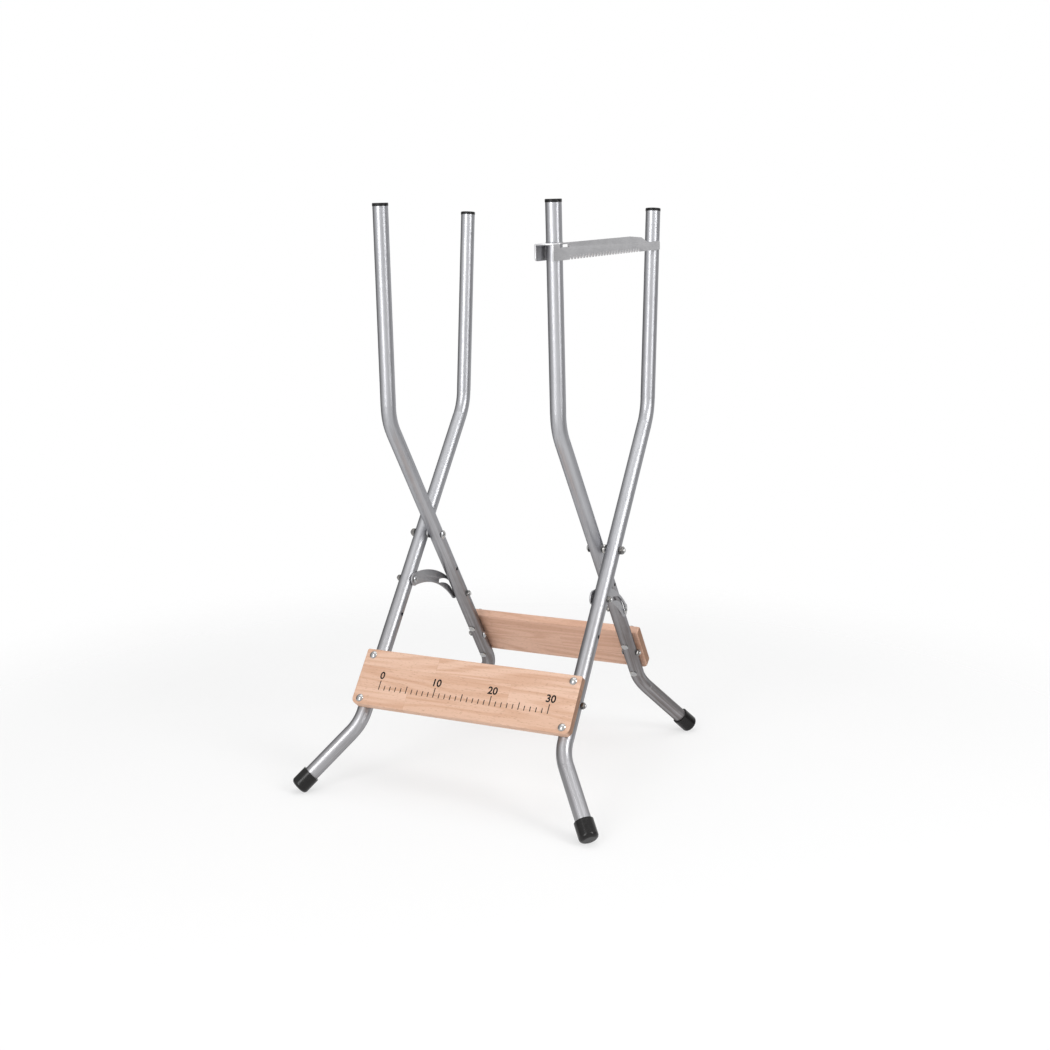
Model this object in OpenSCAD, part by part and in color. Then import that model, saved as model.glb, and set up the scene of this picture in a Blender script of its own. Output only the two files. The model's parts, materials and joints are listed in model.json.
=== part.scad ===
// Folding log saw stand: two crossed tube frames, a board on each, two slotted
// stays that stop the legs, and a toothed bar that clamps the log from above.
// Millimetres. X runs along the log, -Y is the front, Z is up, the floor is z = 0.

/* [Tubes] */
// Outer diameter of the frame tubes
tube_d = 25; // [20:0.5:30]
// Wall of the frame tubes
tube_wall = 1.5; // [1:0.1:2.5]
// Inner frame, from tube axis to tube axis
inner_spacing = 300; // [240:1:400]
// Free gap between an inner and an outer tube
frame_gap = 4; // [3.5:0.1:8]

/* [Frame shape] */
// Slant of the legs from the vertical
leg_angle = 37; // [30:0.5:42]
// Lean of the uprights, outward at the top
upright_lean = 3.5; // [0:0.1:10]
// Crossing to the corner of the upper bend
upper_reach = 266; // [220:1:320]
// Corner of the upper bend to the tube's end
upright_length = 347; // [310:1:450]
// Radius of the upper bend on the tube's axis
upper_bend_r = 80; // [50:1:120]
// Straight leg left between the board and the lower bend
bend_below_board = 2; // [1:0.5:20]
// Radius of the lower bend on the tube's axis
lower_bend_r = 72; // [50:1:100]
// Splay of the feet in the plane of their frame
foot_splay = 32; // [15:0.5:45]
// Corner of the lower bend to the tube's end
foot_length = 136; // [100:1:180]

/* [Leg joint] */
// Top edge of the board to the seam of upright and leg
seam_drop = 51; // [40:1:70]
// Seam to the cross bolt above it
leg_bolt_rise = 13; // [10:0.5:18]
// Spigot of the leg past the upper board bolt
spigot_past = 16; // [8:0.5:30]
// Length of the shoulder that carries the spigot
shoulder_length = 5; // [3:0.5:10]
// Clearance of the spigot in the upright, on the radius
spigot_clear = 0.1; // [0.05:0.01:0.3]

/* [Boards] */
// Crossing to the top edge of a board, along the leg
board_reach = 231; // [210:1:260]
// Height of the boards
board_height = 95; // [75:1:120]
// Thickness of the boards
board_thickness = 15; // [10:0.5:22]
// Front board past the tube axes
front_board_overhang = 13.5; // [10:0.5:40]
// Rear board past the tube axes
rear_board_overhang = 18; // [10:0.5:40]
// Board bolts from the top and bottom edges
board_bolt_inset = 10; // [8:0.5:16]
// Rounding of the lower board corners
board_low_corner_r = 10; // [4:0.5:16]
// Rounding of the upper board corners
board_top_corner_r = 3; // [1:0.5:10]

/* [Bolts] */
// Shank of the board, leg and stay bolts
bolt_d = 6; // [5:0.5:8]
// Domed head of those bolts
bolt_head_d = 12.6; // [10:0.1:16]
// Height of those heads
bolt_head_h = 3.6; // [2.5:0.1:5]
// Nut of those bolts, across the flats
nut_flats = 10; // [8:0.5:13]
// Height of those nuts
nut_h = 5; // [4:0.1:8]
// Shank of the crossing bolts
pivot_d = 8; // [6:0.5:10]
// Domed head of the crossing bolts
pivot_head_d = 15; // [12:0.1:20]
// Height of the crossing bolt heads
pivot_head_h = 4.4; // [3:0.1:6]
// Nut of the crossing bolts, across the flats
pivot_nut_flats = 13; // [10:0.5:17]
// Height of the crossing nuts
pivot_nut_h = 6.5; // [5:0.1:10]
// Outer diameter of the crossing spacers
spacer_d = 15; // [12:0.5:20]
// Bolt end left standing past its nut
bolt_tip = 2; // [1:0.1:4]
// Clearance of fixed bolts in their holes, on the radius
hole_clear = 0.2; // [0.1:0.05:0.4]
// Clearance of turning bolts in their holes, on the radius
pivot_clear = 0.07; // [0.03:0.01:0.1]
// Side play of pieces that turn against each other
side_play = 0.3; // [0.3:0.05:0.5]

/* [Stays] */
// Crossing to the stay's pivot on the outer leg
stay_pivot_reach = 88; // [70:1:100]
// Crossing to the slot's pin on the inner leg
slot_pin_reach = 154; // [140:1:170]
// Width of the stay
stay_width = 22; // [18:0.5:28]
// Diameter of the stay's rounded ends
stay_eye_d = 23; // [20:0.5:32]
// Sheet thickness of the stay
stay_sheet = 2.5; // [1.5:0.1:2.8]
// Rise of the stay's arch over its chord
stay_rise = 15.5; // [8:0.5:25]
// Clearance of the pin in the slot, on the radius
slot_clear = 0.7; // [0.6:0.05:1.2]
// Fold of the frames from open to shut
fold_range = 42; // [30:1:44]
// Turn of the stay for each degree of fold
stay_ratio = 1.22; // [1.1:0.01:1.3]

/* [Toothed bar] */
// Corner of the upper bend to the bar's lower edge, along the upright
bar_rise = 260; // [100:1:270]
// Sheet thickness of the bar
bar_sheet = 2.5; // [2:0.1:2.6]
// Height of the bar
bar_height = 26.5; // [22:0.5:35]
// Upright's axis to the front edge of the clasp
clasp_front = 33; // [25:0.5:45]
// Inner cheek of the clasp past the upright's axis
cheek_past = 2; // [0:0.5:4]
// Rounding of the inner cheek's front corners
cheek_corner_r = 5; // [2:0.5:9]
// Upright's axis to the end of the tail
bar_reach = 347; // [320:1:400]
// Tail's end to the foot of its slope
tail_length = 49; // [30:1:70]
// Height of the tail
tail_height = 14.5; // [10:0.5:18]
// Rounding of the tail's upper corner
tail_corner_r = 3; // [1:0.5:6]
// Length of the slope down to the tail
slope_length = 24; // [10:1:40]
// Height of the bar where that slope starts
slope_height = 23.5; // [20:0.5:26]
// Length of the gentle fall before the slope
fall_length = 44; // [20:1:80]
// Upright's axis to the first tooth
teeth_start = 18.5; // [14:0.5:40]
// Last tooth to the end of the tail
teeth_setback = 76; // [60:1:120]
// Pitch of the teeth
tooth_pitch = 10; // [5:0.5:14]
// Width of a tooth's tip
tooth_tip = 1.4; // [0.8:0.1:3]
// Depth of the teeth
tooth_depth = 7; // [3:0.5:8]
// Window beside the upright, behind its axis
window_rear = 17; // [10:0.5:24]
// Window beside the upright, before its axis
window_front = 12; // [6:0.5:16]
// Height of the window
window_height = 4.5; // [3:0.5:7]
// Wall of the liner in the clasp's hole
liner_wall = 0.9; // [0.6:0.1:1.5]
// Liner past the sheet, above and below
liner_past = 0.6; // [0.3:0.1:1.5]
// Running clearance of the liner, on the radius
liner_clear = 0.07; // [0.03:0.01:0.1]
// Side play of the clasp past its hole
cheek_play = 0.06; // [0.03:0.01:0.1]
// Swing of the bar out of its frame's side plane
bar_swing = 5.1; // [4.6:0.1:6]

/* [Caps and feet] */
// Diameter of the tube caps
cap_d = 26; // [22:0.5:32]
// Height of a cap above the tube
cap_h = 5; // [2:0.5:10]
// Rounding of the cap's edge
cap_round = 1.2; // [0.5:0.1:2]
// Length of the cap's plug in the tube
cap_plug = 12; // [6:0.5:20]
// Wall of the cap's hollow plug
cap_plug_wall = 2; // [1:0.1:3]
// Wall of the rubber feet
foot_wall = 2.7; // [1.5:0.1:5]
// Sole of the rubber feet under the tube
foot_sole = 5; // [3:0.5:10]
// Rubber foot up the tube
foot_sleeve = 25; // [15:0.5:40]
// Rounding of the foot's end
foot_round = 6; // [3:0.5:7]
// Worn flat of the foot, measured into its rounding
foot_flat = 1; // [0.5:0.1:2]
// Clearance of caps and feet on the tube, on the radius
push_clear = 0.1; // [0.05:0.01:0.2]

/* [Hidden] */
$fn = 96;
overrun = 1;
head_rim = 0.8;
tip_chamfer = 0.8;
nut_collar_share = 0.3;
collar_d_share = 0.86;
fold_inner_r = 0.5;
bend_draw = 0.15;
bend_taper = 4;
bend_lap_share = 0.75;
slot_end_relief = 0.2;

tube_r = tube_d / 2;
tube_bore = tube_d - 2 * tube_wall;
inner_x = inner_spacing / 2;
frame_step = tube_d + frame_gap;
outer_x = inner_x + frame_step;
hole_d = bolt_d + 2 * hole_clear;
pivot_hole_d = pivot_d + 2 * hole_clear;
pivot_run_d = pivot_d + 2 * pivot_clear;
stay_run_d = bolt_d + 2 * pivot_clear;

upper_turn = leg_angle - upright_lean;
upper_tangent = upper_bend_r * tan(upper_turn / 2);
lower_tangent = lower_bend_r * tan(foot_splay / 2);
seam_reach = board_reach + seam_drop;
leg_bolt_reach = seam_reach - leg_bolt_rise;
board_bolt_reaches = [board_reach + board_bolt_inset,
                      board_reach + board_height - board_bolt_inset];
lower_reach = board_reach + board_height + bend_below_board + lower_tangent;
spigot_reach = board_bolt_reaches[0] - spigot_past;
spigot_d = tube_bore - 2 * spigot_clear;
spigot_bore = spigot_d - 2 * tube_wall;

foot_d = tube_d + 2 * push_clear + 2 * foot_wall;
foot_tilt = acos(cos(leg_angle) * cos(foot_splay));
crossing_z = lower_reach * cos(leg_angle)
    + (foot_length + foot_sole - foot_round) * cos(foot_tilt)
    + (foot_d / 2 - foot_round) * sin(foot_tilt) + foot_round - foot_flat;

stay_x = inner_x + tube_r + frame_gap / 2;
stay_side = (frame_gap + stay_sheet) / 2 + side_play;
stay_pivot = stay_pivot_reach * [-sin(leg_angle), -cos(leg_angle)];
stay_chord = pin_place(0) - stay_pivot;
stay_slope = atan2(stay_chord.y, stay_chord.x);
stay_length = norm(stay_chord);
stay_arc = arc_through([0, 0], [stay_length / 2, stay_rise], [stay_length, 0]);
slot_open = pin_in_stay(0);
slot_shut = pin_in_stay(fold_range);
slot_arc = arc_through(slot_open, pin_in_stay(fold_range / 2), slot_shut);
slot_d = bolt_d + 2 * slot_clear;

liner_r = tube_r + liner_clear;
liner_outer_r = liner_r + liner_wall;
clasp_hole_r = liner_outer_r + liner_clear;
clasp_r = clasp_hole_r + cheek_play;
clasp_outer_r = clasp_r + bar_sheet;
fold_outer_r = fold_inner_r + bar_sheet;
tail_start = bar_reach - tail_length;
slope_start = tail_start - slope_length;
fall_start = slope_start - fall_length;
teeth_end = bar_reach - teeth_setback;
tooth_count = floor((teeth_end - teeth_start) / tooth_pitch);

// A plane vector turned by an angle
function turned(v, a) = [v.x * cos(a) - v.y * sin(a), v.x * sin(a) + v.y * cos(a)];
// Slot pin in the side view, from the crossing, after a fold
function pin_place(fold) =
    slot_pin_reach * [sin(leg_angle - fold), -cos(leg_angle - fold)];
// Slot pin seen from the stay, whose chord is the first axis
function pin_in_stay(fold) =
    turned(pin_place(fold) - stay_pivot, stay_ratio * fold - stay_slope);
// Centre and radius of the circle through three points
function arc_through(p, q, r) =
    let (a = q - p, b = r - p, d = 2 * (a.x * b.y - a.y * b.x),
         c = p + [b.y * (a * a) - a.y * (b * b), a.x * (b * b) - b.x * (a * a)] / d)
    [c, norm(p - c)];
function bearing(from, to) = atan2(to.y - from.y, to.x - from.x);

// Leg frames: origin at the crossing, Z up the slope, -Y to the board, +X outward
module outer_leg_frame(side)
    translate([side * outer_x, 0, crossing_z])
        rotate([-leg_angle, 0, 0])
            mirror([side < 0 ? 1 : 0, 0, 0])
                children();

module inner_leg_frame(side)
    translate([side * inner_x, 0, crossing_z])
        mirror([0, 1, 0])
            rotate([-leg_angle, 0, 0])
                mirror([side < 0 ? 1 : 0, 0, 0])
                    children();

// Frame of an upright inside a leg frame: origin at the bend's corner, Z up the upright
module upright_frame()
    translate([0, 0, upper_reach])
        rotate([upper_turn, 0, 0])
            children();

// Frame of a foot inside a leg frame: origin at the bend's corner, Z down the foot
module foot_frame()
    translate([0, 0, -lower_reach])
        rotate([0, 180 - foot_splay, 0])
            children();

module ring(d, bore)
    difference() {
        circle(d = d);
        circle(d = bore);
    }

module cross_hole(reach, d)
    translate([-tube_d, 0, -reach])
        rotate([0, 90, 0])
            cylinder(d = d, h = 2 * tube_d);

module board_hole(reach)
    translate([0, -tube_d - board_thickness, -reach])
        rotate([-90, 0, 0])
            cylinder(d = hole_d, h = 2 * tube_d + board_thickness);

// Straight run of a tube at one diameter: Z away from the bend, whose drawn-in section it meets
module straight(d, length)
    rotate_extrude()
        polygon([[0, -bend_taper / 2],
                 [d / 2 - 2 * bend_draw, -bend_taper / 2],
                 [d / 2, bend_taper / 2],
                 [d / 2, length],
                 [0, length]]);

// Bend of a tube at one diameter: starts at the origin up Z and turns towards +X
module bend(d, r, turn) {
    lap = bend_lap_share * bend_taper / r * 180 / PI;
    translate([r, 0, 0])
        rotate([90, 0, 180])
            rotate([0, 0, -lap])
                rotate_extrude(angle = turn + 2 * lap)
                    translate([r, 0])
                        circle(d = d - 2 * bend_draw);
}

// Path of an upper tube at one diameter: seam, crossing, bend, upright
module upper_run(d, past) {
    translate([0, 0, upper_reach - upper_tangent]) {
        mirror([0, 0, 1])
            straight(d, seam_reach + upper_reach - upper_tangent + past);
        rotate([0, 0, -90])
            bend(d, upper_bend_r, upper_turn);
    }
    upright_frame()
        translate([0, 0, upper_tangent])
            straight(d, upright_length - upper_tangent + past);
}

// Path of a lower tube at one diameter, from its top: leg, bend, splayed foot
module lower_run(d, top, past) {
    translate([0, 0, -lower_reach + lower_tangent]) {
        straight(d, lower_reach - lower_tangent - top);
        mirror([0, 0, 1])
            bend(d, lower_bend_r, foot_splay);
    }
    foot_frame()
        translate([0, 0, lower_tangent])
            straight(d, foot_length - lower_tangent + past);
}

// Upper tube of a frame: from the seam past the crossing, bent up to the cap
module upper_tube(crossing_hole_d)
    difference() {
        upper_run(tube_d, 0);
        upper_run(tube_bore, overrun);
        cross_hole(0, crossing_hole_d);
        cross_hole(stay_pivot_reach, hole_d);
        cross_hole(slot_pin_reach, hole_d);
        cross_hole(leg_bolt_reach, hole_d);
        board_hole(board_bolt_reaches[0]);
    }

// Lower tube of a frame: spigot and shoulder, straight leg, bend and splayed foot
module lower_tube()
    difference() {
        union() {
            lower_run(tube_d, seam_reach, 0);
            translate([0, 0, -seam_reach - shoulder_length])
                cylinder(d = spigot_d, h = seam_reach + shoulder_length - spigot_reach);
        }
        lower_run(tube_bore, seam_reach + shoulder_length, overrun);
        translate([0, 0, -seam_reach - shoulder_length - overrun])
            cylinder(d = spigot_bore, h = seam_reach + shoulder_length - spigot_reach + 2 * overrun);
        cross_hole(leg_bolt_reach, hole_d);
        for (reach = board_bolt_reaches)
            board_hole(reach);
    }

// Bolt along Z: the domed head ends at z = 0 and the shank stands up from it
module bolt(d, length, head_d, head_h) {
    dome_h = head_h - head_rim;
    dome_r = (head_d * head_d / 4 + dome_h * dome_h) / (2 * dome_h);
    translate([0, 0, -head_rim])
        cylinder(d = head_d, h = head_rim);
    intersection() {
        translate([0, 0, dome_r - head_h])
            sphere(r = dome_r);
        translate([0, 0, -head_h])
            cylinder(d = head_d, h = dome_h);
    }
    cylinder(d = d, h = length - tip_chamfer);
    translate([0, 0, length - tip_chamfer])
        cylinder(d1 = d, d2 = d - 2 * tip_chamfer, h = tip_chamfer);
}

// Locking nut along Z: hexagon with a round collar on its outer end
module nut(flats, height, bolt) {
    collar_h = height * nut_collar_share;
    difference() {
        union() {
            cylinder(d = flats / cos(30), h = height - collar_h, $fn = 6);
            cylinder(d = flats * collar_d_share, h = height);
        }
        translate([0, 0, -overrun])
            cylinder(d = bolt + 2 * hole_clear, h = height + 2 * overrun);
    }
}

module small_bolt(grip)
    bolt(bolt_d, grip + nut_h + bolt_tip, bolt_head_d, bolt_head_h);

module small_nut()
    nut(nut_flats, nut_h, bolt_d);

module board_profile(length) {
    low = board_low_corner_r;
    top = board_top_corner_r;
    translate([-length / 2, low - board_height])
        square([length, board_height - low - top]);
    translate([low - length / 2, -board_height])
        square([length - 2 * low, low]);
    translate([top - length / 2, -top])
        square([length - 2 * top, top]);
    for (side = [-1, 1]) {
        translate([side * (length / 2 - low), low - board_height])
            circle(r = low);
        translate([side * (length / 2 - top), -top])
            circle(r = top);
    }
}

// Board lying on the -Y side of the tubes of a frame centred on X
module board(axis_x, overhang)
    difference() {
        translate([0, -tube_r, -board_reach])
            rotate([90, 0, 0])
                linear_extrude(board_thickness)
                    board_profile(2 * (axis_x + overhang));
        for (side = [-1, 1], reach = board_bolt_reaches)
            translate([side * axis_x, 0, 0])
                board_hole(reach);
    }

module cap()
    upright_frame()
        translate([0, 0, upright_length])
            difference() {
                union() {
                    rotate_extrude() {
                        square([cap_d / 2, cap_h - cap_round]);
                        square([cap_d / 2 - cap_round, cap_h]);
                        translate([cap_d / 2 - cap_round, cap_h - cap_round])
                            circle(r = cap_round);
                    }
                    translate([0, 0, -cap_plug])
                        cylinder(d = tube_bore - 2 * push_clear, h = cap_plug);
                }
                translate([0, 0, -cap_plug - overrun])
                    cylinder(d = tube_bore - 2 * push_clear - 2 * cap_plug_wall,
                             h = cap_plug + overrun);
            }

// Rubber foot: a cup pushed over the tube, rounded at its end
module foot_cup()
    foot_frame()
        translate([0, 0, foot_length])
            difference() {
                rotate_extrude() {
                    translate([0, -foot_sleeve])
                        square([foot_d / 2, foot_sleeve + foot_sole - foot_round]);
                    translate([0, foot_sole - foot_round])
                        square([foot_d / 2 - foot_round, foot_round]);
                    translate([foot_d / 2 - foot_round, foot_sole - foot_round])
                        intersection() {
                            circle(r = foot_round);
                            square(foot_round);
                        }
                }
                translate([0, 0, -foot_sleeve - overrun])
                    cylinder(d = tube_d + 2 * push_clear, h = foot_sleeve + overrun);
            }

// A foot worn flat at the floor
module on_floor()
    difference() {
        children();
        translate([-outer_x - lower_reach, -2 * lower_reach, -foot_d])
            cube([2 * (outer_x + lower_reach), 4 * lower_reach, foot_d]);
    }

// Slotted stay in its own plane: chord on X, arch to +Y, sheet centred on Z
module stay_plate() {
    c = stay_arc[0];
    r = stay_arc[1];
    from = bearing(c, [stay_length, 0]);
    to = bearing(c, [0, 0]);
    sc = slot_arc[0];
    sr = slot_arc[1];
    slot_from = bearing(sc, slot_open);
    slot_to = bearing(sc, slot_shut);
    translate([0, 0, -stay_sheet / 2])
        difference() {
            union() {
                translate([c.x, c.y, 0])
                    rotate([0, 0, from])
                        rotate_extrude(angle = to - from)
                            translate([r - stay_width / 2, 0])
                                square([stay_width, stay_sheet]);
                for (x = [0, stay_length])
                    translate([x, 0, 0])
                        cylinder(d = stay_eye_d, h = stay_sheet);
            }
            translate([0, 0, -overrun])
                cylinder(d = stay_run_d, h = stay_sheet + 2 * overrun);
            translate([sc.x, sc.y, -overrun])
                rotate([0, 0, slot_from])
                    rotate_extrude(angle = slot_to - slot_from)
                        translate([sr - slot_d / 2, 0])
                            square([slot_d, stay_sheet + 2 * overrun]);
            for (p = [slot_open, slot_shut])
                translate([p.x, p.y, -overrun])
                    cylinder(d = slot_d + 2 * slot_end_relief, h = stay_sheet + 2 * overrun);
        }
}

module stay(side)
    translate([side * stay_x, stay_pivot.x, crossing_z + stay_pivot.y])
        rotate([stay_slope, 0, 0])
            rotate([90, 0, 90])
                stay_plate();

// Frame of the bar: origin on the upright's axis at the bar's lower edge, +Y to the tail
module bar_frame()
    translate([inner_x, -upper_reach * sin(leg_angle),
               crossing_z + upper_reach * cos(leg_angle)])
        rotate([upright_lean, 0, 0])
            translate([0, 0, bar_rise])
                children();

// Side view of the toothed plate: X to the tail, Y up
module toothed_profile()
    difference() {
        union() {
            polygon([[-clasp_front, 0],
                     [bar_reach - tail_corner_r, 0],
                     [bar_reach - tail_corner_r, tail_height],
                     [tail_start, tail_height],
                     [slope_start, slope_height],
                     [fall_start, bar_height],
                     [-clasp_front, bar_height]]);
            translate([bar_reach - 2 * tail_corner_r, 0])
                square([2 * tail_corner_r, tail_height - tail_corner_r]);
            translate([bar_reach - tail_corner_r, tail_height - tail_corner_r])
                circle(r = tail_corner_r);
        }
        for (i = [0 : tooth_count - 1])
            translate([teeth_start + i * tooth_pitch, 0])
                polygon([[0, -overrun], [0, 0], [(tooth_pitch - tooth_tip) / 2, tooth_depth],
                         [tooth_pitch - tooth_tip, 0], [tooth_pitch - tooth_tip, -overrun]]);
        translate([-window_front, bar_height - bar_sheet - window_height])
            square([window_front + window_rear, window_height]);
    }

// Inner cheek of the clasp, with its front corners rounded
module cheek_profile() {
    length = clasp_front + cheek_past;
    translate([cheek_corner_r - clasp_front, 0])
        square([length - cheek_corner_r, bar_height]);
    translate([-clasp_front, cheek_corner_r])
        square([cheek_corner_r, bar_height - cheek_corner_r]);
    translate([cheek_corner_r - clasp_front, cheek_corner_r])
        circle(r = cheek_corner_r);
}

// Outer rounding of a fold along Y, kept for the corner at the origin
module fold_cut(length)
    translate([0, -overrun, 0])
        difference() {
            translate([-fold_outer_r, 0, -fold_outer_r])
                cube([fold_outer_r + overrun, length + 2 * overrun, fold_outer_r + overrun]);
            translate([-fold_outer_r, -overrun, -fold_outer_r])
                rotate([-90, 0, 0])
                    cylinder(r = fold_outer_r, h = length + 4 * overrun);
        }

// One folded sheet: toothed plate, strap with the hole, inner cheek
module bar_sheet_solid()
    difference() {
        union() {
            translate([clasp_r, 0, 0])
                rotate([90, 0, 90])
                    linear_extrude(bar_sheet)
                        toothed_profile();
            translate([-clasp_outer_r, 0, 0])
                rotate([90, 0, 90])
                    linear_extrude(bar_sheet)
                        cheek_profile();
            translate([0, 0, bar_height - bar_sheet])
                difference() {
                    linear_extrude(bar_sheet) {
                        translate([-clasp_outer_r, -clasp_front])
                            square([2 * clasp_outer_r, clasp_front]);
                        circle(r = clasp_outer_r);
                    }
                    translate([0, 0, -overrun])
                        cylinder(r = clasp_hole_r, h = bar_sheet + 2 * overrun);
                }
        }
        translate([clasp_outer_r, -clasp_front, bar_height])
            fold_cut(clasp_front - window_front);
        mirror([1, 0, 0])
            translate([clasp_outer_r, -clasp_front, bar_height])
                fold_cut(clasp_front + cheek_past);
    }

module rear_left_upright()
    color("silver") outer_leg_frame(-1) upper_tube(pivot_hole_d);

module rear_right_upright()
    color("silver") outer_leg_frame(1) upper_tube(pivot_hole_d);

module front_left_upright()
    color("silver") inner_leg_frame(-1) upper_tube(pivot_run_d);

module front_right_upright()
    color("silver") inner_leg_frame(1) upper_tube(pivot_run_d);

module front_left_leg()
    color("silver") outer_leg_frame(-1) lower_tube();

module front_right_leg()
    color("silver") outer_leg_frame(1) lower_tube();

module rear_left_leg()
    color("silver") inner_leg_frame(-1) lower_tube();

module rear_right_leg()
    color("silver") inner_leg_frame(1) lower_tube();

module front_board()
    color("burlywood")
        translate([0, 0, crossing_z])
            rotate([-leg_angle, 0, 0])
                board(outer_x, front_board_overhang);

module rear_board()
    color("burlywood")
        translate([0, 0, crossing_z])
            mirror([0, 1, 0])
                rotate([-leg_angle, 0, 0])
                    board(inner_x, rear_board_overhang);

// Heads on the front of the board
module front_board_bolts()
    color("gainsboro")
        for (side = [-1, 1], reach = board_bolt_reaches)
            outer_leg_frame(side)
                translate([0, -tube_r - board_thickness, -reach])
                    rotate([-90, 0, 0])
                        small_bolt(board_thickness + tube_d);

module front_board_nuts()
    color("gainsboro")
        for (side = [-1, 1], reach = board_bolt_reaches)
            outer_leg_frame(side)
                translate([0, tube_r, -reach])
                    rotate([-90, 0, 0])
                        small_nut();

// Heads on the tubes, nuts behind the board
module rear_board_bolts()
    color("gainsboro")
        for (side = [-1, 1], reach = board_bolt_reaches)
            inner_leg_frame(side)
                translate([0, tube_r, -reach])
                    rotate([90, 0, 0])
                        small_bolt(board_thickness + tube_d);

module rear_board_nuts()
    color("gainsboro")
        for (side = [-1, 1], reach = board_bolt_reaches)
            inner_leg_frame(side)
                translate([0, -tube_r - board_thickness, -reach])
                    rotate([90, 0, 0])
                        small_nut();

module leg_bolt()
    translate([-tube_r, 0, -leg_bolt_reach])
        rotate([0, 90, 0])
            small_bolt(tube_d);

module leg_nut()
    translate([tube_r, 0, -leg_bolt_reach])
        rotate([0, 90, 0])
            small_nut();

module front_leg_bolts()
    color("gainsboro") for (side = [-1, 1]) outer_leg_frame(side) leg_bolt();

module front_leg_nuts()
    color("gainsboro") for (side = [-1, 1]) outer_leg_frame(side) leg_nut();

module rear_leg_bolts()
    color("gainsboro") for (side = [-1, 1]) inner_leg_frame(side) leg_bolt();

module rear_leg_nuts()
    color("gainsboro") for (side = [-1, 1]) inner_leg_frame(side) leg_nut();

module rear_left_cap()
    color("#202022") outer_leg_frame(-1) cap();

module rear_right_cap()
    color("#202022") outer_leg_frame(1) cap();

module front_left_cap()
    color("#202022") inner_leg_frame(-1) cap();

module front_right_cap()
    color("#202022") inner_leg_frame(1) cap();

module front_left_foot()
    color("#1a1a1a") on_floor() outer_leg_frame(-1) foot_cup();

module front_right_foot()
    color("#1a1a1a") on_floor() outer_leg_frame(1) foot_cup();

module rear_left_foot()
    color("#1a1a1a") on_floor() inner_leg_frame(-1) foot_cup();

module rear_right_foot()
    color("#1a1a1a") on_floor() inner_leg_frame(1) foot_cup();

// Crossing: head inside the inner tube, spacer in the gap, nut outside the outer tube
module crossing_bolts()
    color("gainsboro")
        for (side = [-1, 1])
            outer_leg_frame(side)
                translate([-frame_step - tube_r - side_play, 0, 0])
                    rotate([0, 90, 0])
                        bolt(pivot_d, frame_step + tube_d + side_play + pivot_nut_h + bolt_tip,
                             pivot_head_d, pivot_head_h);

module crossing_nuts()
    color("gainsboro")
        for (side = [-1, 1])
            outer_leg_frame(side)
                translate([tube_r, 0, 0])
                    rotate([0, 90, 0])
                        nut(pivot_nut_flats, pivot_nut_h, pivot_d);

module crossing_spacers()
    color("gainsboro")
        for (side = [-1, 1])
            outer_leg_frame(side)
                translate([side_play - tube_r - frame_gap, 0, 0])
                    rotate([0, 90, 0])
                        linear_extrude(frame_gap - side_play)
                            ring(spacer_d, pivot_hole_d);

// Stay pivot: head over the stay, nut outside the outer tube
module stay_pivot_bolts()
    color("gainsboro")
        for (side = [-1, 1])
            outer_leg_frame(side)
                translate([-tube_r - stay_side, 0, -stay_pivot_reach])
                    rotate([0, 90, 0])
                        small_bolt(stay_side + tube_d);

module stay_pivot_nuts()
    color("gainsboro")
        for (side = [-1, 1])
            outer_leg_frame(side)
                translate([tube_r, 0, -stay_pivot_reach])
                    rotate([0, 90, 0])
                        small_nut();

// Slot pin: head over the stay, nut inside the inner tube
module slot_pins()
    color("gainsboro")
        for (side = [-1, 1])
            inner_leg_frame(side)
                translate([tube_r + stay_side, 0, -slot_pin_reach])
                    rotate([0, -90, 0])
                        small_bolt(stay_side + tube_d);

module slot_pin_nuts()
    color("gainsboro")
        for (side = [-1, 1])
            inner_leg_frame(side)
                translate([-tube_r, 0, -slot_pin_reach])
                    rotate([0, -90, 0])
                        small_nut();

module left_stay()
    color("dimgray") stay(-1);

module right_stay()
    color("dimgray") stay(1);

// Bush in the clasp's hole, which runs on the upright
module bar_liner()
    color("darkgray")
        bar_frame()
            translate([0, 0, bar_height - bar_sheet - liner_past])
                linear_extrude(bar_sheet + 2 * liner_past)
                    ring(2 * liner_outer_r, 2 * liner_r);

module toothed_bar()
    color("lightgray")
        bar_frame()
            rotate([0, 0, -bar_swing])
                bar_sheet_solid();

rear_left_upright();
rear_right_upright();
front_left_leg();
front_right_leg();
front_board();
front_board_bolts();
front_board_nuts();
front_leg_bolts();
front_leg_nuts();
rear_left_cap();
rear_right_cap();
front_left_foot();
front_right_foot();
crossing_bolts();
crossing_nuts();
crossing_spacers();
stay_pivot_bolts();
stay_pivot_nuts();
front_left_upright();
front_right_upright();
rear_left_leg();
rear_right_leg();
rear_board();
rear_board_bolts();
rear_board_nuts();
rear_leg_bolts();
rear_leg_nuts();
front_left_cap();
front_right_cap();
rear_left_foot();
rear_right_foot();
slot_pins();
slot_pin_nuts();
left_stay();
right_stay();
bar_liner();
toothed_bar();
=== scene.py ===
import json
import math

import bmesh
import bpy
from mathutils import Matrix, Vector


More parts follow.
